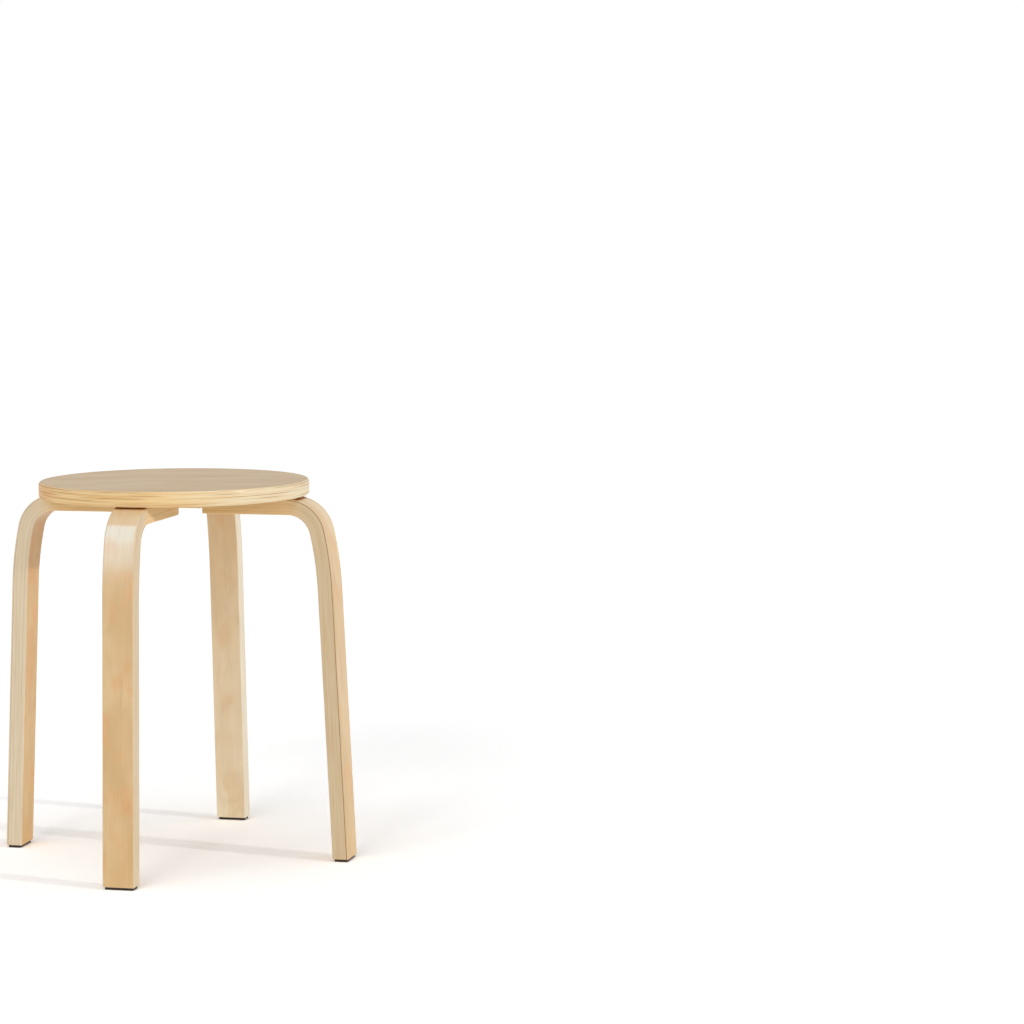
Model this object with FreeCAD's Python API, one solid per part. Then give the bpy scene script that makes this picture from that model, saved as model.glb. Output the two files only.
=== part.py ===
import FreeCAD, Part
import math
import os

# Stacking stool. A round plywood seat rests on the flat arms of four bent
# laminated legs. Two bolts go up through each arm into inserts in the seat.
# Millimetres, Z up, origin on the floor under the middle of the seat.
# The legs stand on the X and Y axes: right +X, back +Y, left -X, front -Y.

# Driving dimensions
seat_height = 450.0
seat_diameter = 320.0
seat_thickness = 18.5
leg_width = 38.0
leg_thickness = 19.8
bend_inner_radius = 28.0
splay_degrees = 2.6
arm_end_radius = 40.0
pad_thickness = 3.0

# Off the mould the bend springs open a little: it ends in a wide easing curve,
# whose radius is measured to the middle of the strip
easing_radius = 400.0
easing_degrees = 10.0

# Room between the seat's rim and the legs where the tight bend ends, so that
# the seat of the next stool down in a stack passes between them
stacking_clearance = 12.2

# Edge finish
seat_edge_radius = 3.0
leg_edge_radius = 1.6
pad_inset = 1.8
pad_corner_radius = 2.0

# Fastening, one bolt near the end of the arm and one near the bend
bolt_shank_diameter = 6.0
bolt_head_diameter = 12.6
bolt_head_sink = 0.3
socket_across_flats = 4.0
socket_depth = 2.4
thread_reach = 10.0
arm_hole_clearance = 0.6
insert_outer_diameter = 10.0
insert_length = 12.0
insert_thread_clearance = 0.1
insert_hole_spare_depth = 1.0
inner_bolt_setback = 27.0
outer_bolt_setback = 24.0

# Derived levels and radii
splay = math.radians(splay_degrees)
seat_radius = seat_diameter / 2
seat_low = seat_height - seat_thickness
arm_low = seat_low - leg_thickness
easing_start = splay + math.radians(easing_degrees)
bend_outer_radius = bend_inner_radius + leg_thickness
bend_mid_radius = bend_inner_radius + leg_thickness / 2
bend_centre_z = seat_low - bend_outer_radius
bend_end_inner_r = seat_radius + stacking_clearance
bend_centre_r = bend_end_inner_r - bend_inner_radius * math.cos(easing_start)
easing_inner_radius = easing_radius - leg_thickness / 2
easing_outer_radius = easing_radius + leg_thickness / 2
centre_spacing = easing_radius - bend_mid_radius
easing_centre_r = bend_centre_r - centre_spacing * math.cos(easing_start)
easing_centre_z = bend_centre_z - centre_spacing * math.sin(easing_start)
bolt_radii = {
    "inner": arm_end_radius + inner_bolt_setback,
    "outer": bend_centre_r - outer_bolt_setback,
}
insert_hole_depth = insert_length + insert_hole_spare_depth

# Turn of each leg about the middle of the stool, in degrees from +X
leg_turns = {"right": 0, "back": 90, "left": 180, "front": 270}

vertical = FreeCAD.Vector(0, 0, 1)
middle = FreeCAD.Vector(0, 0, 0)
bend_centre = FreeCAD.Vector(bend_centre_r, 0, bend_centre_z)
easing_centre = FreeCAD.Vector(easing_centre_r, 0, easing_centre_z)


def turned(shape, degrees):
    """Turn a shape drawn on +X about the middle of the stool."""
    copy = shape.copy()
    copy.rotate(middle, vertical, degrees)
    return copy


def cylinder(diameter, height, r, z):
    """Upright cylinder standing at radius r along +X, from level z."""
    return Part.makeCylinder(diameter / 2, height, FreeCAD.Vector(r, 0, z))


def arc_point(centre, radius, angle):
    """Point at a radius from a centre, at an angle above horizontal."""
    return centre + FreeCAD.Vector(radius * math.cos(angle), 0, radius * math.sin(angle))


def arc(centre, radius, start, end):
    """Arc in the leg's plane between two angles above horizontal."""
    return Part.Arc(
        arc_point(centre, radius, start),
        arc_point(centre, radius, (start + end) / 2),
        arc_point(centre, radius, end),
    ).toShape()


def foot_point(radius):
    """Foot of the straight leg face that leaves the easing curve at this radius."""
    start = arc_point(easing_centre, radius, splay)
    drop = start.z - pad_thickness
    return FreeCAD.Vector(start.x + drop * math.tan(splay), 0, pad_thickness)


def leg_outline():
    """Side outline of the leg: arm, tight bend, easing curve and straight leg."""
    upright = math.pi / 2
    arm_top_end = FreeCAD.Vector(arm_end_radius, 0, seat_low)
    arm_low_end = FreeCAD.Vector(arm_end_radius, 0, arm_low)
    foot_outer = foot_point(easing_outer_radius)
    foot_inner = foot_point(easing_inner_radius)
    return Part.Wire([
        Part.makeLine(arm_top_end, arc_point(bend_centre, bend_outer_radius, upright)),
        arc(bend_centre, bend_outer_radius, upright, easing_start),
        arc(easing_centre, easing_outer_radius, easing_start, splay),
        Part.makeLine(arc_point(easing_centre, easing_outer_radius, splay), foot_outer),
        Part.makeLine(foot_outer, foot_inner),
        Part.makeLine(foot_inner, arc_point(easing_centre, easing_inner_radius, splay)),
        arc(easing_centre, easing_inner_radius, splay, easing_start),
        arc(bend_centre, bend_inner_radius, easing_start, upright),
        Part.makeLine(arc_point(bend_centre, bend_inner_radius, upright), arm_low_end),
        Part.makeLine(arm_low_end, arm_top_end),
    ])


def countersink(r, shank_diameter, sink):
    """Cone of a bolt head that ends below the shank and starts a little inside the arm."""
    sunk_face = arm_low + sink
    head_radius = bolt_head_diameter / 2 + bolt_head_sink - sink
    height = head_radius - shank_diameter / 2
    return Part.makeCone(head_radius, shank_diameter / 2, height, FreeCAD.Vector(r, 0, sunk_face))


def make_leg():
    """One bent strip with all its edges eased and two countersunk holes in its arm."""
    strip = Part.Face(leg_outline()).extrude(FreeCAD.Vector(0, leg_width, 0))
    strip.translate(FreeCAD.Vector(0, -leg_width / 2, 0))
    strip = strip.makeFillet(leg_edge_radius, strip.Edges)
    hole_diameter = bolt_shank_diameter + arm_hole_clearance
    for r in bolt_radii.values():
        strip = strip.cut(cylinder(hole_diameter, leg_thickness, r, arm_low))
        strip = strip.cut(countersink(r, hole_diameter, 0))
    return strip


def make_seat():
    """Round board with rolled edges and a blind hole over each bolt."""
    board = Part.makeCylinder(seat_radius, seat_thickness, FreeCAD.Vector(0, 0, seat_low))
    rims = [edge for edge in board.Edges if edge.BoundBox.ZLength < seat_thickness / 2]
    board = board.makeFillet(seat_edge_radius, rims)
    for turn in leg_turns.values():
        for r in bolt_radii.values():
            hole = cylinder(insert_outer_diameter, insert_hole_depth, r, seat_low)
            board = board.cut(turned(hole, turn))
    return board


def make_pad():
    """Thin pad under the foot, set in a little from the edges of the wood."""
    outer_r = foot_point(easing_outer_radius).x - pad_inset
    inner_r = foot_point(easing_inner_radius).x + pad_inset
    width = leg_width - 2 * pad_inset
    corner = FreeCAD.Vector(inner_r, -width / 2, 0)
    pad = Part.makeBox(outer_r - inner_r, width, pad_thickness, corner)
    uprights = [edge for edge in pad.Edges if edge.BoundBox.ZLength > pad_thickness / 2]
    return pad.makeFillet(pad_corner_radius, uprights)


def hex_socket(r, level):
    """Hexagonal hole for the key, cut upward from the face of a bolt head."""
    corner_radius = socket_across_flats / math.sqrt(3)
    corner_count = 6
    corners = []
    for corner in range(corner_count + 1):
        angle = 2 * math.pi * corner / corner_count
        x = r + corner_radius * math.cos(angle)
        y = corner_radius * math.sin(angle)
        corners.append(FreeCAD.Vector(x, y, level))
    return Part.Face(Part.makePolygon(corners)).extrude(vertical * socket_depth)


def make_bolt(r):
    """Socket bolt whose countersunk head lies flush in the underside of the arm."""
    head_face = arm_low + bolt_head_sink
    head = countersink(r, bolt_shank_diameter, bolt_head_sink)
    shank = cylinder(bolt_shank_diameter, seat_low + thread_reach - head_face, r, head_face)
    return head.fuse(shank).cut(hex_socket(r, head_face)).removeSplitter()


def make_insert(r):
    """Threaded sleeve in the seat that takes the end of a bolt."""
    bore_diameter = bolt_shank_diameter + insert_thread_clearance
    sleeve = cylinder(insert_outer_diameter, insert_length, r, seat_low)
    return sleeve.cut(cylinder(bore_diameter, insert_length, r, seat_low))


def save(name, shape):
    """Write one solid as one node."""
    solid = shape.Solids[0]
    solid.exportStep("parts/" + name + ".step")


save("seat", make_seat())
for side, turn in leg_turns.items():
    save("leg_" + side, turned(make_leg(), turn))
    save("foot_pad_" + side, turned(make_pad(), turn))
    for place, r in bolt_radii.items():
        save("bolt_" + side + "_" + place, turned(make_bolt(r), turn))
        save("insert_" + side + "_" + place, turned(make_insert(r), turn))
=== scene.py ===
import bmesh
import bpy
import math
from mathutils import Matrix, Vector


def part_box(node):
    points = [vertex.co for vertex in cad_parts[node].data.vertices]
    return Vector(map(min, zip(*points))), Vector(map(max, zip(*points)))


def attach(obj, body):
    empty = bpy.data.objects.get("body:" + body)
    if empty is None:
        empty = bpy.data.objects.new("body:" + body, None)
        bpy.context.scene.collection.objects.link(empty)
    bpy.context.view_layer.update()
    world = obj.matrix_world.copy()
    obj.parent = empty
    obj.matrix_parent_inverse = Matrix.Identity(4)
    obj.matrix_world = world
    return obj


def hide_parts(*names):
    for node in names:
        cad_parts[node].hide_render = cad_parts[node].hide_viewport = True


# Looks of the stacking stool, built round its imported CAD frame.
# Metres, Z up, floor at Z = 0. Legs: right +X, back +Y, left -X, front -Y.

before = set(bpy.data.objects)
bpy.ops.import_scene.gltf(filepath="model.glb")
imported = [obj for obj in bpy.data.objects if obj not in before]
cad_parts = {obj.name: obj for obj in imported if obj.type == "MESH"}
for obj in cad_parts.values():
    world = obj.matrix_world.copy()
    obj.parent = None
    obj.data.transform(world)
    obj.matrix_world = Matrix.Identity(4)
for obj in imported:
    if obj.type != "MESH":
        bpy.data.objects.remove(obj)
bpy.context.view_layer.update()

mm = 0.001

# Points whose heights differ by less than this lie on one level
level_tolerance = 0.01 * mm

# Seat, from the frame
seat_low_corner, seat_high_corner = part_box("seat")
seat_radius = seat_high_corner.x
seat_top = seat_high_corner.z
seat_low = seat_low_corner.z
seat_thickness = seat_top - seat_low
seat_middle = (seat_top + seat_low) / 2
seat_edge_radius = 3 * mm
seat_face_border = 2 * mm
seat_plies = 11

# Legs, from the frame where it has them
leg_low_corner, leg_high_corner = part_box("leg_right")
leg_width = leg_high_corner.y - leg_low_corner.y
arm_end_radius = leg_low_corner.x
leg_foot_level = leg_low_corner.z
leg_thickness = 19.8 * mm
leg_edge_radius = 1.6 * mm
leg_end_bevel = 1.4 * mm
leg_plies = 9
bend_inner_radius = 28 * mm
easing_radius = 400 * mm
stacking_clearance = 12.2 * mm
arm_low = seat_low - leg_thickness
splay = math.radians(2.6)
easing_turn = math.radians(10)

# Centres of the leg's tight bend and of the wide easing curve that follows it
bend_turn = math.pi / 2 - splay - easing_turn
bend_mid_radius = bend_inner_radius + leg_thickness / 2
bend_centre = Vector((
    seat_radius + stacking_clearance - bend_inner_radius * math.sin(bend_turn),
    0,
    seat_low - bend_inner_radius - leg_thickness,
))
bend_end_normal = Vector((math.sin(bend_turn), 0, math.cos(bend_turn)))
easing_centre = bend_centre - bend_end_normal * (easing_radius - bend_mid_radius)
leg_direction = Vector((math.sin(splay), 0, -math.cos(splay)))
leg_normal = Vector((math.cos(splay), 0, math.sin(splay)))

leg_turns = {"right": 0, "back": 90, "left": 180, "front": 270}

# Holes for the bolts in the arms, and for the inserts in the seat
bolt_hole_radius = 3.3 * mm
countersink_radius = 6.6 * mm
insert_hole_radius = 5 * mm
insert_hole_depth = 13 * mm

# Foot pads
pad_corner_radius = 2 * mm
pad_crushed_edge = 0.6 * mm

# How finely round shapes are drawn
seat_segments = 192
seat_edge_segments = 8
hole_segments = 48
leg_corner_segments = 5
leg_end_segments = 4
bend_steps = 32
easing_steps = 12
pad_corner_segments = 5
pad_edge_segments = 3

# How creamy the outer veneers of each leg are near the bend and at the foot, from golden 0 to pale 1. The
# right leg's golden foot is painted shade.
leg_cream_and_shade = {"right": (0.5, 0.15), "back": (0.45, 1.0), "left": (0.1, 0.0), "front": (0.18, 0.0)}

# How pale the sawn sides of each leg are, from golden 0 to white 1
leg_side_pale = {"right": 0.0, "back": 1.0, "left": 0.46, "front": 0.3}

# How dark the outermost glue line of each leg is
leg_outer_line = {"right": 0.9, "back": 0.2, "left": 0.3, "front": 0.3}

# How far outside the seat's rim the painted light and shade on the arms under the seat start, and over what
# length they come in
arm_painted_light_start = 5 * mm
arm_painted_light_length = 20 * mm

# How much further along the veneer each next leg is cut, in metres, so that no two look alike
veneer_shift = 1.7

# Camera, solved from the stool's edges in the photograph
camera_distance = 3.679
camera_height = 0.775
camera_azimuth = math.radians(19.22)
camera_heading = math.radians(6.26 - 19.22)
camera_pitch = math.radians(5.715)
camera_roll = math.radians(-0.29)
camera_lens = 108.55
camera_sensor_width = 36
camera_reach = 200

# Studio, with the colours of the lamps that glint on the legs
floor_half_width = 60
wall_glow = 0.22
daylight = (0.2, 0.66, 1.0)
white = (1, 1, 1)


def linear(hex_colour):
    """Linear colour, with alpha, of an sRGB hex value."""
    channels = []
    for start in (0, 2, 4):
        value = int(hex_colour[start:start + 2], 16) / 255
        channels.append(value / 12.92 if value <= 0.04045 else ((value + 0.055) / 1.055) ** 2.4)
    return (*channels, 1.0)


def add_node(tree, kind, settings):
    """Add a shader node and return its outputs. A setting is a property of the node or one of its
    inputs, and an input takes a value or another node's output."""
    node = tree.nodes.new("ShaderNode" + kind)
    for name, value in settings.items():
        if isinstance(value, bpy.types.NodeSocket):
            tree.links.new(value, node.inputs[name])
        elif isinstance(name, int) or name in node.inputs:
            node.inputs[name].default_value = value
        else:
            setattr(node, name, value)
    return node.outputs


def eased(low, high, at_low=0.0, at_high=1.0):
    """Settings that stretch a level softly from at_low, where it is low, to at_high, where it is high."""
    return {
        "interpolation_type": "SMOOTHSTEP",
        "From Min": low,
        "From Max": high,
        "To Min": at_low,
        "To Max": at_high,
    }


def new_material(name):
    """Material with an empty node tree."""
    material = bpy.data.materials.new(name)
    material.use_nodes = True
    material.node_tree.nodes.clear()
    return material, material.node_tree


def figure(tree, place, length, width, **settings):
    """Level from 0 to 1 of wood figure whose marks are this long along the grain and this wide across."""
    scale = (1 / length, 1 / width, 1 / width)
    scaled = add_node(tree, "VectorMath", {"operation": "MULTIPLY", 0: place, 1: scale})[0]
    return add_node(tree, "TexNoise", {"Vector": scaled, "Scale": 1.0, **settings})["Fac"]


def own_figure(tree, run, length, number, **settings):
    """Level from 0 to 1 that changes along the edge, and differently for each ply or glue line number."""
    # So far apart in the noise that neighbours don't look alike
    apart = add_node(tree, "Math", {"operation": "MULTIPLY", 0: number, 1: 7.3})[0]
    layer = add_node(tree, "CombineXYZ", {"Z": apart})[0]
    scale = (1 / length, 1 / length, 0)
    spot = add_node(tree, "VectorMath", {"operation": "MULTIPLY_ADD", 0: run, 1: scale, 2: layer})[0]
    return add_node(tree, "TexNoise", {"Vector": spot, "Scale": 1.0, **settings})["Fac"]


def veneer_face(tree, place, pale, golden, rosy, line):
    """Colour and height of rotary-cut birch veneer.
    place runs along, across and through the grain, in metres."""
    # Broad soft clouds of tone
    cloud_level = figure(tree, place, 110 * mm, 42 * mm, Detail=2.0)
    clouds = add_node(tree, "MapRange", {"Value": cloud_level, **eased(0.32, 0.68)})[0]
    tone = add_node(tree, "MixRGB", {"Fac": clouds, "Color1": pale, "Color2": golden})[0]
    # Rosy patches, almost as wide as they are long
    patch_level = figure(tree, place, 40 * mm, 24 * mm, Detail=1.0)
    patches = add_node(tree, "MapRange", {"Value": patch_level, **eased(0.50, 0.70, 0.0, 0.8)})[0]
    patched = add_node(tree, "MixRGB", {"Fac": patches, "Color1": tone, "Color2": rosy})[0]
    # Growth rings cut flat: up to six soft crinkled contours, which fade out in places
    ring_level = figure(tree, place, 90 * mm, 30 * mm, Detail=3.0)
    ring_count = add_node(tree, "Math", {"operation": "MULTIPLY", 0: ring_level, 1: 6.0})[0]
    from_ring = add_node(tree, "Math", {"operation": "PINGPONG", 0: ring_count, 1: 0.5})[0]
    rings = add_node(tree, "MapRange", {"Value": from_ring, **eased(0.0, 0.4, 0.12, 0.0)})[0]
    clear_level = figure(tree, place, 70 * mm, 35 * mm)
    in_places = add_node(tree, "MapRange", {"Value": clear_level, **eased(0.48, 0.70)})[0]
    rings_left = add_node(tree, "Math", {"operation": "MULTIPLY", 0: rings, 1: in_places})[0]
    ringed = add_node(tree, "MixRGB", {"Fac": rings_left, "Color1": patched, "Color2": line})[0]
    # Fibres, really 0.3 mm wide, drawn 1.5 mm wide so that they show
    fibres = figure(tree, place, 60 * mm, 1.5 * mm, Detail=3.0, Roughness=0.6)
    fibre_tone = add_node(tree, "MapRange", {"Value": fibres, **eased(0.25, 0.75, 0.965, 1.03)})[0]
    fibred = add_node(
        tree, "MixRGB", {"blend_type": "MULTIPLY", "Fac": 1.0, "Color1": ringed, "Color2": fibre_tone}
    )[0]
    # Short brown flecks in the grain, 1 mm wide and 9 mm long
    fleck_level = figure(tree, place, 9 * mm, 1 * mm, Detail=1.0)
    flecks = add_node(tree, "MapRange", {"Value": fleck_level, **eased(0.70, 0.80, 0.0, 0.35)})[0]
    flecked = add_node(tree, "MixRGB", {"Fac": flecks, "Color1": fibred, "Color2": line})[0]
    return flecked, fibres


def ply_position(tree, through, thickness, plies):
    """Count of plies below a point of the board's edge, as a running number."""
    lifted = add_node(tree, "Math", {"operation": "ADD", 0: through, 1: thickness / 2})[0]
    return add_node(tree, "Math", {"operation": "MULTIPLY", 0: lifted, 1: plies / thickness})[0]


def laminated_edge(tree, run, position, colours, line_length, line_width, strengths):
    """Colour of the cut edge of glued veneers. Each differs a little in tone, and the brown glue lines
    between them waver, come and go, and are stronger in every second place.
    run is a place along the edge, in metres, and position counts the plies."""
    pale, golden, line = colours
    odd_line, even_line = strengths
    # The lines waver by up to a fifth of a ply
    waver = figure(tree, run, 90 * mm, 90 * mm)
    sway = add_node(tree, "Math", {"operation": "MULTIPLY_ADD", 0: waver, 1: 0.4, 2: -0.2})[0]
    swayed = add_node(tree, "Math", {"operation": "ADD", 0: position, 1: sway})[0]
    # Tone of each ply
    ply = add_node(tree, "Math", {"operation": "FLOOR", 0: swayed})[0]
    tone_level = own_figure(tree, run, 80 * mm, ply, Detail=2.0)
    tone = add_node(tree, "MapRange", {"Value": tone_level, **eased(0.34, 0.66)})[0]
    toned = add_node(tree, "MixRGB", {"Fac": tone, "Color1": pale, "Color2": golden})[0]
    # Glue lines
    nearest = add_node(tree, "Math", {"operation": "ROUND", 0: swayed})[0]
    from_line = add_node(tree, "Math", {"operation": "PINGPONG", 0: swayed, 1: 0.5})[0]
    on_line = add_node(tree, "MapRange", {"Value": from_line, **eased(0.0, line_width, 1.0, 0.0)})[0]
    odd = add_node(tree, "Math", {"operation": "PINGPONG", 0: nearest, 1: 1.0})[0]
    darkest = add_node(tree, "MapRange", {"Value": odd, **eased(0.0, 1.0, even_line, odd_line)})[0]
    line_level = own_figure(tree, run, line_length, nearest, Detail=2.0)
    shown = add_node(tree, "MapRange", {"Value": line_level, **eased(0.38, 0.56, 0.12, 1.0)})[0]
    here = add_node(tree, "Math", {"operation": "MULTIPLY", 0: on_line, 1: shown})[0]
    darkness = add_node(tree, "Math", {"operation": "MULTIPLY", 0: here, 1: darkest})[0]
    return add_node(tree, "MixRGB", {"Fac": darkness, "Color1": toned, "Color2": line})[0]


def broad_side(tree, through, thickness):
    """1 on the flat faces of a board and 0 on its edges."""
    surface = thickness / 2
    depth = add_node(tree, "Math", {"operation": "ABSOLUTE", 0: through})[0]
    return add_node(tree, "MapRange", {"Value": depth, **eased(surface - 0.4 * mm, surface - 0.05 * mm)})[0]


def lacquer(tree, colour, height, on_face, film):
    """Clear satin lacquer over wood: a thin film that shows soft outlines of what it reflects. The sawn
    edges soak it up and stay more matt than the faces, where on_face is 1."""
    edge_film, face_film = film
    bump = add_node(tree, "Bump", {"Height": height, "Strength": 0.25, "Distance": 0.05 * mm})[0]
    coat = add_node(tree, "MapRange", {"Value": on_face, **eased(0.0, 1.0, edge_film, face_film)})[0]
    return add_node(tree, "BsdfPrincipled", {
        "Base Color": colour,
        "Roughness": 0.6,
        "Specular IOR Level": 0.05,
        "Coat Weight": coat,
        "Coat Roughness": 0.18,
        "Coat IOR": 2.1,
        "Normal": bump,
    })[0]


def lacquered_birch_plywood():
    """Seat board: birch plywood, turned and lacquered. Its faces show one golden veneer, and its rim
    the paler cut edges of all of them, with broken brown lines of glue."""
    material, tree = new_material("lacquered_birch_plywood")
    spot = add_node(tree, "TexCoord", {})["Object"]
    grain_turn = (0, 0, math.radians(14))
    grain_level = (0, 0, seat_middle)
    place = add_node(
        tree, "Mapping",
        {"vector_type": "TEXTURE", "Vector": spot, "Location": grain_level, "Rotation": grain_turn},
    )[0]
    through = add_node(tree, "SeparateXYZ", {"Vector": place})["Z"]
    face, height = veneer_face(
        tree, place, linear("cdb083"), linear("c5a576"), linear("cba97b"), linear("9c7a52")
    )
    # Painted light on the rim: it is paler towards its right end, a painted sheen of the light from the
    # right, and more golden at its left one, painted shade where less light falls
    sideways = add_node(tree, "SeparateXYZ", {"Vector": spot})["X"]
    right_part = eased(0.1 * seat_radius, 0.9 * seat_radius)
    left_part = eased(-0.8 * seat_radius, -0.6 * seat_radius, 1.0, 0.0)
    painted_sheen_right = add_node(tree, "MapRange", {"Value": sideways, **right_part})[0]
    painted_shade_left = add_node(tree, "MapRange", {"Value": sideways, **left_part})[0]
    rim_colours = []
    # Each set of colours: middle, right end with painted sheen, left end with painted shade
    for middle, right, left in (("efd3a0", "eadfc2", "e7bd80"), ("e8c184", "e5cea6", "e0ad6a")):
        paler = add_node(
            tree, "MixRGB", {"Fac": painted_sheen_right, "Color1": linear(middle), "Color2": linear(right)}
        )[0]
        both = add_node(tree, "MixRGB", {"Fac": painted_shade_left, "Color1": paler, "Color2": linear(left)})[0]
        rim_colours.append(both)
    rim_colours.append(linear("85532a"))
    position = ply_position(tree, through, seat_thickness, seat_plies)
    run = add_node(tree, "VectorMath", {"operation": "MULTIPLY", 0: place, 1: (1, 1, 0)})[0]
    rim = laminated_edge(tree, run, position, rim_colours, 95 * mm, 0.3, (0.2, 0.85))
    on_face = broad_side(tree, through, seat_thickness)
    colour = add_node(tree, "MixRGB", {"Fac": on_face, "Color1": rim, "Color2": face})[0]
    shader = lacquer(tree, colour, height, on_face, (0.28, 0.3))
    add_node(tree, "OutputMaterial", {"Surface": shader})
    return material


def painted_gap_shade(tree, through, under_seat):
    """Painted shade, from 0 to 1, on the leg's top in the narrow gap under the seat's rim, where the rim
    shades it and warm light bounces in.
    """
    in_gap = add_node(tree, "MapRange", {"Value": under_seat, **eased(0.2, 0.4, 0.0, 0.9)})[0]
    in_open = add_node(tree, "MapRange", {"Value": under_seat, **eased(0.7, 0.8, 1.0, 0.0)})[0]
    skin = eased(leg_thickness / 2 - 1 * mm, leg_thickness / 2 - 0.5 * mm)
    on_top = add_node(tree, "MapRange", {"Value": through, **skin})[0]
    along = add_node(tree, "Math", {"operation": "MULTIPLY", 0: in_gap, 1: in_open})[0]
    return add_node(tree, "Math", {"operation": "MULTIPLY", 0: along, 1: on_top})[0]


def sawn_side(tree, place, run, through, under_seat):
    """Colour of the sawn sides of a leg. Along the arm, under the seat, they are painted more golden: painted
    warm light, as bounced off the seat's underside.
    """
    side_pale = add_node(tree, "Attribute", {"attribute_name": "side_pale"})["Fac"]
    ply_colours = []
    # The third colour of each set is painted warm bounce light on the sides along the arm, under the seat
    for yellow, whitish, painted_bounce in (("d5c2a4", "eee6d7", "f1d5a8"), ("ceb996", "e6dcc8", "e8ca98")):
        leg_ply = add_node(
            tree, "MixRGB", {"Fac": side_pale, "Color1": linear(yellow), "Color2": linear(whitish)}
        )[0]
        ply = add_node(tree, "MixRGB", {"Fac": under_seat, "Color1": leg_ply, "Color2": linear(painted_bounce)})[0]
        ply_colours.append(ply)
    ply_colours.append(linear("9c7745"))
    position = ply_position(tree, through, leg_thickness, leg_plies)
    plies = laminated_edge(tree, run, position, ply_colours, 120 * mm, 0.22, (0.12, 0.4))
    # The outermost glue line is the darkest, on one leg more than on the others
    beyond = add_node(tree, "Math", {"operation": "SUBTRACT", 0: position, 1: leg_plies - 1.0})[0]
    from_outermost = add_node(tree, "Math", {"operation": "ABSOLUTE", 0: beyond})[0]
    on_outermost = add_node(tree, "MapRange", {"Value": from_outermost, **eased(0.0, 0.4, 1.0, 0.0)})[0]
    outer_line = add_node(tree, "Attribute", {"attribute_name": "outer_line"})["Fac"]
    darkness = add_node(tree, "Math", {"operation": "MULTIPLY", 0: on_outermost, 1: outer_line})[0]
    lined = add_node(tree, "MixRGB", {"Fac": darkness, "Color1": plies, "Color2": linear("9c6a35")})[0]
    # Streaks along the sawn veneers, drawn 1 mm wide so that they show
    streaks = figure(tree, place, 90 * mm, 1 * mm, Detail=2.0)
    streak_tone = add_node(tree, "MapRange", {"Value": streaks, **eased(0.25, 0.75, 0.975, 1.02)})[0]
    return add_node(
        tree, "MixRGB", {"blend_type": "MULTIPLY", "Fac": 1.0, "Color1": lined, "Color2": streak_tone}
    )[0]


def lacquered_bent_birch():
    """Legs: birch veneers glued round a mould, sawn to width and lacquered. The broad faces show one
    golden or creamy veneer, and the sawn sides show the pale edges of all of them, round the bend too."""
    material, tree = new_material("lacquered_bent_birch")
    place = add_node(tree, "Attribute", {"attribute_name": "strip"})["Vector"]
    split = add_node(tree, "SeparateXYZ", {"Vector": place})
    through = split["Z"]
    run = add_node(tree, "CombineXYZ", {"X": split["X"]})[0]
    # Veneer tone, with painted shade on the right leg's foot
    cream_and_shade = add_node(tree, "Attribute", {"attribute_name": "cream_and_shade"})["Fac"]
    under_seat = add_node(tree, "Attribute", {"attribute_name": "under_seat"})["Fac"]
    tones = []
    for warm, creamy in (("d9b988", "f2e4ca"), ("cea974", "ead9ba"), ("d9a66f", "e6d0ac")):
        tone = add_node(tree, "MixRGB", {"Fac": cream_and_shade, "Color1": linear(warm), "Color2": linear(creamy)})[0]
        tones.append(tone)
    pale, golden, rosy = tones
    face, height = veneer_face(tree, place, pale, golden, rosy, linear("a87a48"))
    side = sawn_side(tree, place, run, through, under_seat)
    on_face = broad_side(tree, through, leg_thickness)
    colour = add_node(tree, "MixRGB", {"Fac": on_face, "Color1": side, "Color2": face})[0]
    # Painted shade: the top of the arm in the gap under the seat's rim is darkened to a warm brown
    gap_shade = painted_gap_shade(tree, through, under_seat)
    gap_shaded = add_node(tree, "MixRGB", {"Fac": gap_shade, "Color1": colour, "Color2": linear("a8641f")})[0]
    shader = lacquer(tree, gap_shaded, height, on_face, (0.12, 0.32))
    add_node(tree, "OutputMaterial", {"Surface": shader})
    return material


def dark_felt():
    """Foot pads: pressed brown-black felt, matt, with loose fibres that break up its colour."""
    material, tree = new_material("dark_felt")
    spot = add_node(tree, "TexCoord", {})["Object"]
    fibres = add_node(
        tree, "TexNoise", {"Vector": spot, "Scale": 900.0, "Detail": 3.0, "Roughness": 0.7}
    )["Fac"]
    colour = add_node(
        tree, "MixRGB", {"Fac": fibres, "Color1": linear("1d1511"), "Color2": linear("43352b")}
    )[0]
    bump = add_node(tree, "Bump", {"Height": fibres, "Strength": 0.6, "Distance": 0.3 * mm})[0]
    shader = add_node(tree, "BsdfPrincipled", {
        "Base Color": colour,
        "Roughness": 0.95,
        "Sheen Weight": 0.3,
        "Sheen Roughness": 0.5,
        "Normal": bump,
    })[0]
    add_node(tree, "OutputMaterial", {"Surface": shader})
    return material


def zinc_plated_steel():
    """Bolts and inserts: bright zinc plate over rolled steel, slightly uneven in gloss."""
    material, tree = new_material("zinc_plated_steel")
    spot = add_node(tree, "TexCoord", {})["Object"]
    cloud = add_node(tree, "TexNoise", {"Vector": spot, "Scale": 350.0, "Detail": 3.0})["Fac"]
    gloss = add_node(tree, "MapRange", {"Value": cloud, "To Min": 0.24, "To Max": 0.42})[0]
    colour = add_node(
        tree, "MixRGB", {"Fac": cloud, "Color1": linear("b9bab8"), "Color2": linear("d2d1cc")}
    )[0]
    shader = add_node(tree, "BsdfPrincipled", {"Base Color": colour, "Metallic": 1.0, "Roughness": gloss})[0]
    add_node(tree, "OutputMaterial", {"Surface": shader})
    return material


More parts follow.
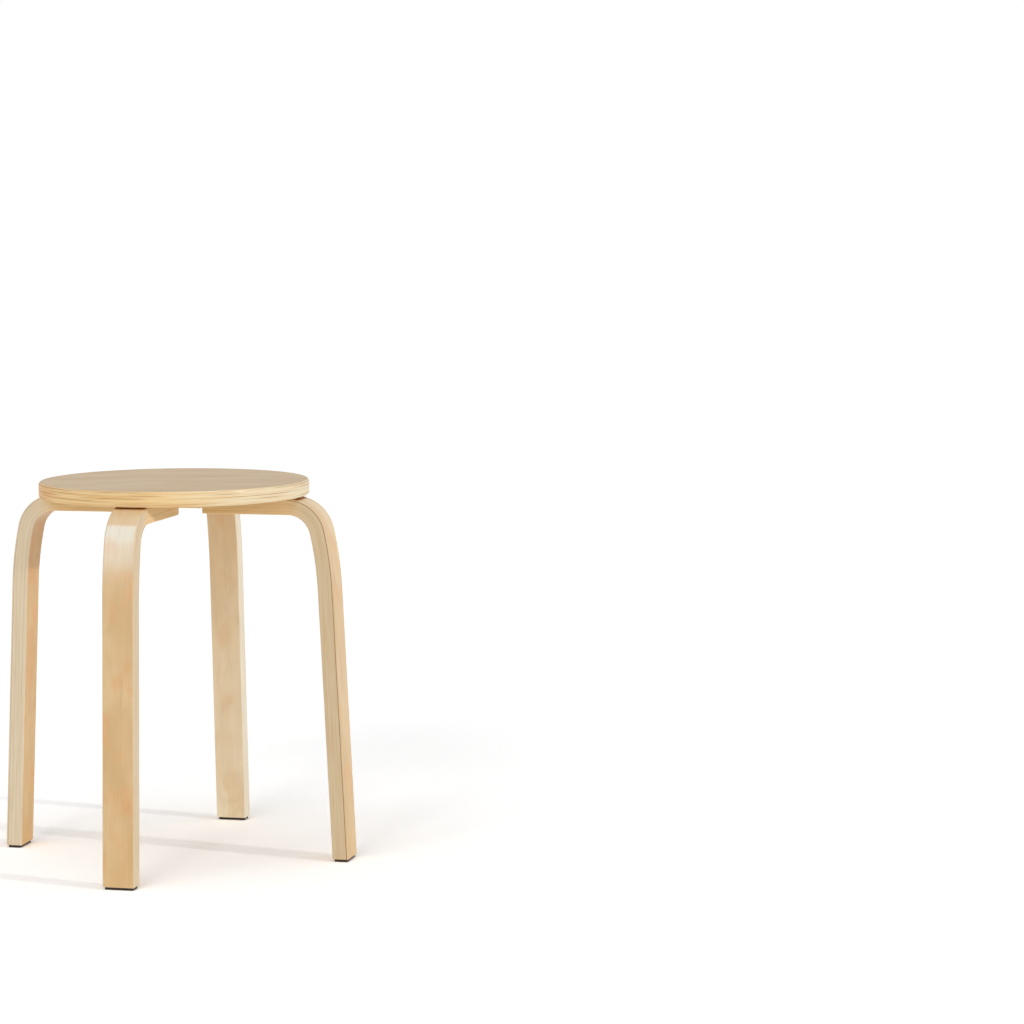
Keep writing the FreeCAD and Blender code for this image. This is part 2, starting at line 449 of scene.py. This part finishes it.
def seen_directly(tree):
    """1 for what the camera sees, also in a reflection or through glass, and 0 for light on the object."""
    path = add_node(tree, "LightPath", {})
    mirrored = add_node(
        tree, "Math",
        {"operation": "MAXIMUM", 0: path["Is Glossy Ray"], 1: path["Is Transmission Ray"]},
    )[0]
    return add_node(tree, "Math", {"operation": "MAXIMUM", 0: path["Is Camera Ray"], 1: mirrored})[0]


def studio_floor_paint():
    """Matt white studio floor. It is seen at full white where nothing shades it, and the light that it
    throws up at the stool is a little warmer."""
    material, tree = new_material("studio_floor_paint")
    for_light = (1.2, 1.1, 0.92, 1)
    for_camera = (1.4, 1.4, 1.4, 1)
    colour = add_node(
        tree, "MixRGB", {"Fac": seen_directly(tree), "Color1": for_light, "Color2": for_camera}
    )[0]
    shader = add_node(tree, "BsdfDiffuse", {"Color": colour})[0]
    add_node(tree, "OutputMaterial", {"Surface": shader})
    return material


def make_piece(name, bm, material):
    """Turn a finished bmesh into a smooth object with one material."""
    bmesh.ops.recalc_face_normals(bm, faces=bm.faces)
    for face in bm.faces:
        face.smooth = True
    mesh = bpy.data.meshes.new(name)
    bm.to_mesh(mesh)
    bm.free()
    mesh.materials.append(material)
    piece = bpy.data.objects.new(name, mesh)
    bpy.context.scene.collection.objects.link(piece)
    shading = piece.modifiers.new("flat_faces_lead", "WEIGHTED_NORMAL")
    shading.keep_sharp = True
    return piece


def dress(piece, slot, *nodes):
    """The piece rides on the stool and stands for these CAD nodes."""
    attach(piece, "root")
    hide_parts(*nodes)


def axis_of(node):
    """Point on the floor plan where a bolt or insert stands."""
    low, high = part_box(node)
    return (low.x + high.x) / 2, (low.y + high.y) / 2


def add_ring(bm, axis, radius, level):
    """Sharp circle of edges round an upright axis."""
    place = Matrix.Translation((*axis, level))
    ring = bmesh.ops.create_circle(bm, segments=hole_segments, radius=radius, matrix=place)
    edges = list(dict.fromkeys(edge for vert in ring["verts"] for edge in vert.link_edges))
    for edge in edges:
        edge.smooth = False
    return edges


def pierce(bm, level, rings):
    """Give the largest flat face at this level round holes in place of the rings of edges on it."""
    flat = [face for face in bm.faces if all(abs(vert.co.z - level) < level_tolerance for vert in face.verts)]
    largest = max(flat, key=lambda face: face.calc_area())
    outline = largest.edges[:]
    bmesh.ops.delete(bm, geom=[largest], context="FACES_ONLY")
    bmesh.ops.triangle_fill(bm, edges=outline + rings, use_beauty=True)


def drill_seat(bm):
    """Blind hole in the underside of the seat for each insert."""
    mouths = []
    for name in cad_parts:
        if name.startswith("insert"):
            mouth = add_ring(bm, axis_of(name), insert_hole_radius, seat_low)
            end = add_ring(bm, axis_of(name), insert_hole_radius, seat_low + insert_hole_depth)
            bmesh.ops.bridge_loops(bm, edges=mouth + end)
            bmesh.ops.holes_fill(bm, edges=end, sides=0)
            mouths += mouth
    pierce(bm, seat_low, mouths)


def drill_arm(bm):
    """Countersunk hole for each bolt through the arm of the leg that stands on +X."""
    throat_level = arm_low + countersink_radius - bolt_hole_radius
    mouths = []
    tops = []
    for place in ("inner", "outer"):
        axis = axis_of("bolt_right_" + place)
        mouth = add_ring(bm, axis, countersink_radius, arm_low)
        throat = add_ring(bm, axis, bolt_hole_radius, throat_level)
        top = add_ring(bm, axis, bolt_hole_radius, seat_low)
        bmesh.ops.bridge_loops(bm, edges=mouth + throat)
        bmesh.ops.bridge_loops(bm, edges=throat + top)
        mouths += mouth
        tops += top
    pierce(bm, arm_low, mouths)
    pierce(bm, seat_low, tops)


def make_seat(material):
    """Round board with rolled rims and holes for the inserts."""
    bm = bmesh.new()
    bmesh.ops.create_cone(
        bm, cap_ends=True, segments=seat_segments, radius1=seat_radius, radius2=seat_radius,
        depth=seat_thickness, matrix=Matrix.Translation((0, 0, seat_middle)),
    )
    rims = [edge for edge in bm.edges if abs(edge.verts[0].co.z - edge.verts[1].co.z) < level_tolerance]
    bmesh.ops.bevel(
        bm, geom=rims, offset=seat_edge_radius, affect="EDGES", segments=seat_edge_segments, profile=0.5,
        material=-1,
    )
    # A narrow border of its own keeps the shading of each broad face flat
    caps = [face for face in bm.faces if len(face.verts) > 4]
    for cap in caps:
        bmesh.ops.inset_region(bm, faces=[cap], thickness=seat_face_border)
    drill_seat(bm)
    piece = make_piece("seat_board", bm, material)
    dress(piece, "seat", "seat")


def strip_section(bm):
    """Wire loop of the leg's cross section at the arm's end, with eased corners."""
    middle = Matrix.Translation((arm_end_radius, 0, seat_low - leg_thickness / 2))
    upright = Matrix.Rotation(math.pi / 2, 4, "Y")
    size = Matrix.Diagonal((leg_thickness, leg_width, 1, 1))
    bmesh.ops.create_grid(bm, x_segments=1, y_segments=1, size=0.5, matrix=middle @ upright @ size)
    bmesh.ops.bevel(
        bm, geom=bm.verts[:], offset=leg_edge_radius, affect="VERTICES", segments=leg_corner_segments,
        profile=0.5, material=-1,
    )
    bmesh.ops.delete(bm, geom=bm.faces[:], context="FACES_ONLY")
    return bm.edges[:]


def run_straight(bm, edges, direction, length):
    """Carry the section straight on and return its new edges."""
    moved = bmesh.ops.extrude_edge_only(bm, edges=edges)["geom"]
    corners = [part for part in moved if isinstance(part, bmesh.types.BMVert)]
    bmesh.ops.translate(bm, verts=corners, vec=direction * length)
    return [part for part in moved if isinstance(part, bmesh.types.BMEdge)]


def run_bend(bm, edges, centre, angle, steps):
    """Carry the section round a bend and return its new edges."""
    spun = bmesh.ops.spin(bm, geom=edges, cent=centre, axis=(0, 1, 0), angle=angle, steps=steps)
    return [part for part in spun["geom_last"] if isinstance(part, bmesh.types.BMEdge)]


def strip_place(corner, number):
    """Place of a corner in the flat strip before it was bent: along, across and through it."""
    flat = Vector((corner.x, 0, corner.z))
    from_bend = flat - bend_centre
    from_easing = flat - easing_centre
    bend_angle = math.atan2(from_bend.x, from_bend.z)
    easing_angle = math.atan2(from_easing.x, from_easing.z)
    if from_bend.x < 0:
        along = from_bend.x
        through = from_bend.z - bend_mid_radius
    elif bend_angle < bend_turn:
        along = bend_angle * bend_mid_radius
        through = from_bend.length - bend_mid_radius
    elif easing_angle < bend_turn + easing_turn:
        along = bend_turn * bend_mid_radius + (easing_angle - bend_turn) * easing_radius
        through = from_easing.length - easing_radius
    else:
        bent_length = bend_turn * bend_mid_radius + easing_turn * easing_radius
        along = bent_length + from_easing.dot(leg_direction)
        through = from_easing.dot(leg_normal) - easing_radius
    return (along + veneer_shift * number, corner.y, through)


def mark_wood(bm, side, number):
    """Give each corner of a leg that stands on +X its place in the strip, its tone, and where the painted
    light and shade under the seat go.
    """
    strip = bm.verts.layers.float_vector.new("strip")
    cream_and_shade = bm.verts.layers.float.new("cream_and_shade")
    side_pale = bm.verts.layers.float.new("side_pale")
    under_seat = bm.verts.layers.float.new("under_seat")
    outer_line = bm.verts.layers.float.new("outer_line")
    cream_and_shade_at_bend, cream_and_shade_at_foot = leg_cream_and_shade[side]
    for vert in bm.verts:
        drop = (seat_low - vert.co.z) / seat_low
        inside = seat_radius + arm_painted_light_start - vert.co.x
        vert[strip] = strip_place(vert.co, number)
        # Veneer tone along the leg, with painted shade on the right leg's foot
        vert[cream_and_shade] = cream_and_shade_at_bend + (cream_and_shade_at_foot - cream_and_shade_at_bend) * drop
        vert[side_pale] = leg_side_pale[side]
        # Where the painted bounce light and the painted gap shade under the seat come in
        vert[under_seat] = min(1, max(0, inside / arm_painted_light_length))
        vert[outer_line] = leg_outer_line[side]


def make_leg(side, number, material):
    """One bent strip: arm, tight bend, easing curve and splayed leg, with its ends eased."""
    bm = bmesh.new()
    start = strip_section(bm)
    bend_start = run_straight(bm, start, Vector((1, 0, 0)), bend_centre.x - arm_end_radius)
    easing_start = run_bend(bm, bend_start, bend_centre, bend_turn, bend_steps)
    easing_end = run_bend(bm, easing_start, easing_centre, easing_turn, easing_steps)
    run_straight(bm, easing_end, leg_direction, seat_top)
    cut = bmesh.ops.bisect_plane(
        bm, geom=bm.verts[:] + bm.edges[:] + bm.faces[:], dist=1e-7,
        plane_co=(0, 0, leg_foot_level), plane_no=(0, 0, -1), clear_outer=True,
    )
    foot = [part for part in cut["geom_cut"] if isinstance(part, bmesh.types.BMEdge)]
    caps = bmesh.ops.holes_fill(bm, edges=start + foot, sides=0)["faces"]
    rims = [edge for cap in caps for edge in cap.edges]
    bmesh.ops.bevel(
        bm, geom=rims, offset=leg_end_bevel, affect="EDGES", segments=leg_end_segments, profile=0.5,
        material=-1,
    )
    drill_arm(bm)
    mark_wood(bm, side, number)
    turn = Matrix.Rotation(math.radians(leg_turns[side]), 3, "Z")
    bmesh.ops.rotate(bm, verts=bm.verts, cent=(0, 0, 0), matrix=turn)
    piece = make_piece("bent_leg_" + side, bm, material)
    dress(piece, "legs", "leg_" + side)
    return piece


def make_pad(side, material):
    """Thin felt pad with round corners, a little crushed at its lower edge."""
    low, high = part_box("foot_pad_" + side)
    bm = bmesh.new()
    middle = Matrix.Translation(((low.x + high.x) / 2, (low.y + high.y) / 2, low.z))
    size = Matrix.Diagonal((high.x - low.x, high.y - low.y, 1, 1))
    bmesh.ops.create_grid(bm, x_segments=1, y_segments=1, size=0.5, matrix=middle @ size)
    bmesh.ops.bevel(
        bm, geom=bm.verts[:], offset=pad_corner_radius, affect="VERTICES", segments=pad_corner_segments,
        profile=0.5, material=-1,
    )
    sole = bm.faces[:]
    raised = bmesh.ops.extrude_face_region(bm, geom=sole, use_keep_orig=True)["geom"]
    corners = [part for part in raised if isinstance(part, bmesh.types.BMVert)]
    bmesh.ops.translate(bm, verts=corners, vec=(0, 0, high.z - low.z))
    just_above = low.z + level_tolerance
    low_rims = [edge for edge in bm.edges if max(vert.co.z for vert in edge.verts) < just_above]
    bmesh.ops.bevel(
        bm, geom=low_rims, offset=pad_crushed_edge, affect="EDGES", segments=pad_edge_segments,
        profile=0.5, material=-1,
    )
    piece = make_piece("felt_pad_" + side, bm, material)
    dress(piece, "pads", "foot_pad_" + side)


def dress_steel(material):
    """The bolts and inserts keep their CAD shape and get the plated finish."""
    for name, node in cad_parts.items():
        if name.startswith(("bolt", "insert")):
            node.data.materials.clear()
            node.data.materials.append(material)


def make_studio():
    """White floor and white surroundings."""
    bm = bmesh.new()
    bmesh.ops.create_grid(bm, x_segments=1, y_segments=1, size=floor_half_width)
    mesh = bpy.data.meshes.new("studio_floor")
    bm.to_mesh(mesh)
    bm.free()
    mesh.materials.append(studio_floor_paint())
    floor = bpy.data.objects.new("studio_floor", mesh)
    bpy.context.scene.collection.objects.link(floor)
    world = bpy.data.worlds.new("studio_walls")
    bpy.context.scene.world = world
    world.use_nodes = True
    tree = world.node_tree
    tree.nodes.clear()
    direct = seen_directly(tree)
    strength = add_node(tree, "MapRange", {"Value": direct, "To Min": wall_glow, "To Max": 1.0})[0]
    sky = add_node(tree, "Background", {"Color": (*white, 1), "Strength": strength})[0]
    add_node(tree, "OutputWorld", {"Surface": sky})


def add_far_lamp(name, bearing, elevation, spread, strength):
    """Lamp far off, so that it lights the whole stool and floor evenly. Its bearing is counted in degrees
    from the front towards the right. A wide spread, also in degrees, makes it a softbox, and a narrow one
    a window with hard shadows."""
    lamp = bpy.data.lights.new(name, "SUN")
    lamp.angle = math.radians(spread)
    lamp.energy = strength
    holder = bpy.data.objects.new(name, lamp)
    holder.rotation_euler = (math.radians(90 - elevation), 0, math.radians(bearing))
    bpy.context.scene.collection.objects.link(holder)
    return holder


def add_glint(name, bearing, elevation, spread, strength, colour, legs):
    """Far lamp that shows in the reflections of the legs only. The flat seat would mirror all of it to
    someone behind the stool, so its light is kept off the seat."""
    holder = add_far_lamp(name, bearing, elevation, spread, strength)
    holder.data.color = colour
    holder.visible_diffuse = False
    holder.light_linking.receiver_collection = legs


def light_studio(legs):
    """Soft light from the front, the sides and above, with windows that the lacquer mirrors."""
    # Along the curve where the bend of the front leg mirrors the camera
    bend_glints = ((-21, 15, 0.17), (-22, 25, 0.25), (-25, 36, 0.31), (-31, 47, 0.32), (-42, 57, 0.26))
    for bearing, elevation, strength in bend_glints:
        add_far_lamp("tall_softbox", bearing, elevation, spread=12, strength=0.04)
        add_glint("tall_glint", bearing, elevation, 12, strength, daylight, legs)
    add_far_lamp("fill_softbox", bearing=-4, elevation=10, spread=60, strength=0.57)
    front_window = {"bearing": -4, "elevation": 28, "spread": 14, "strength": 0.34}
    add_far_lamp("front_window", **front_window).visible_glossy = False
    add_glint("front_glint", **front_window, colour=white, legs=legs)
    add_far_lamp("left_softbox", bearing=-65, elevation=12, spread=36, strength=0.22)
    for bearing in (78, 112):
        add_far_lamp("side_softbox", bearing, elevation=12, spread=36, strength=0.3)
    add_far_lamp("side_window", bearing=78, elevation=15.6, spread=1.5, strength=0.9)
    add_far_lamp("top_softbox", bearing=0, elevation=80, spread=60, strength=0.83)


def add_camera():
    """Camera at the photograph's viewing angle."""
    lens = bpy.data.cameras.new("photo_camera")
    lens.lens = camera_lens
    lens.sensor_width = camera_sensor_width
    lens.clip_end = camera_reach
    camera = bpy.data.objects.new("photo_camera", lens)
    turn = Matrix.Rotation(-camera_heading, 4, "Z")
    tilt = Matrix.Rotation(math.pi / 2 - camera_pitch, 4, "X")
    roll = Matrix.Rotation(camera_roll, 4, "Z")
    place = Matrix.Translation((
        camera_distance * math.sin(camera_azimuth),
        -camera_distance * math.cos(camera_azimuth),
        camera_height,
    ))
    camera.matrix_world = place @ turn @ tilt @ roll
    bpy.context.scene.collection.objects.link(camera)
    bpy.context.scene.camera = camera


make_seat(lacquered_birch_plywood())
leg_wood = lacquered_bent_birch()
felt = dark_felt()
legs = bpy.data.collections.new("legs_in_the_glint")
for number, side in enumerate(leg_turns):
    legs.objects.link(make_leg(side, number, leg_wood))
    make_pad(side, felt)
dress_steel(zinc_plated_steel())
make_studio()
light_studio(legs)
add_camera()
bpy.context.scene.view_settings.view_transform = "Standard"
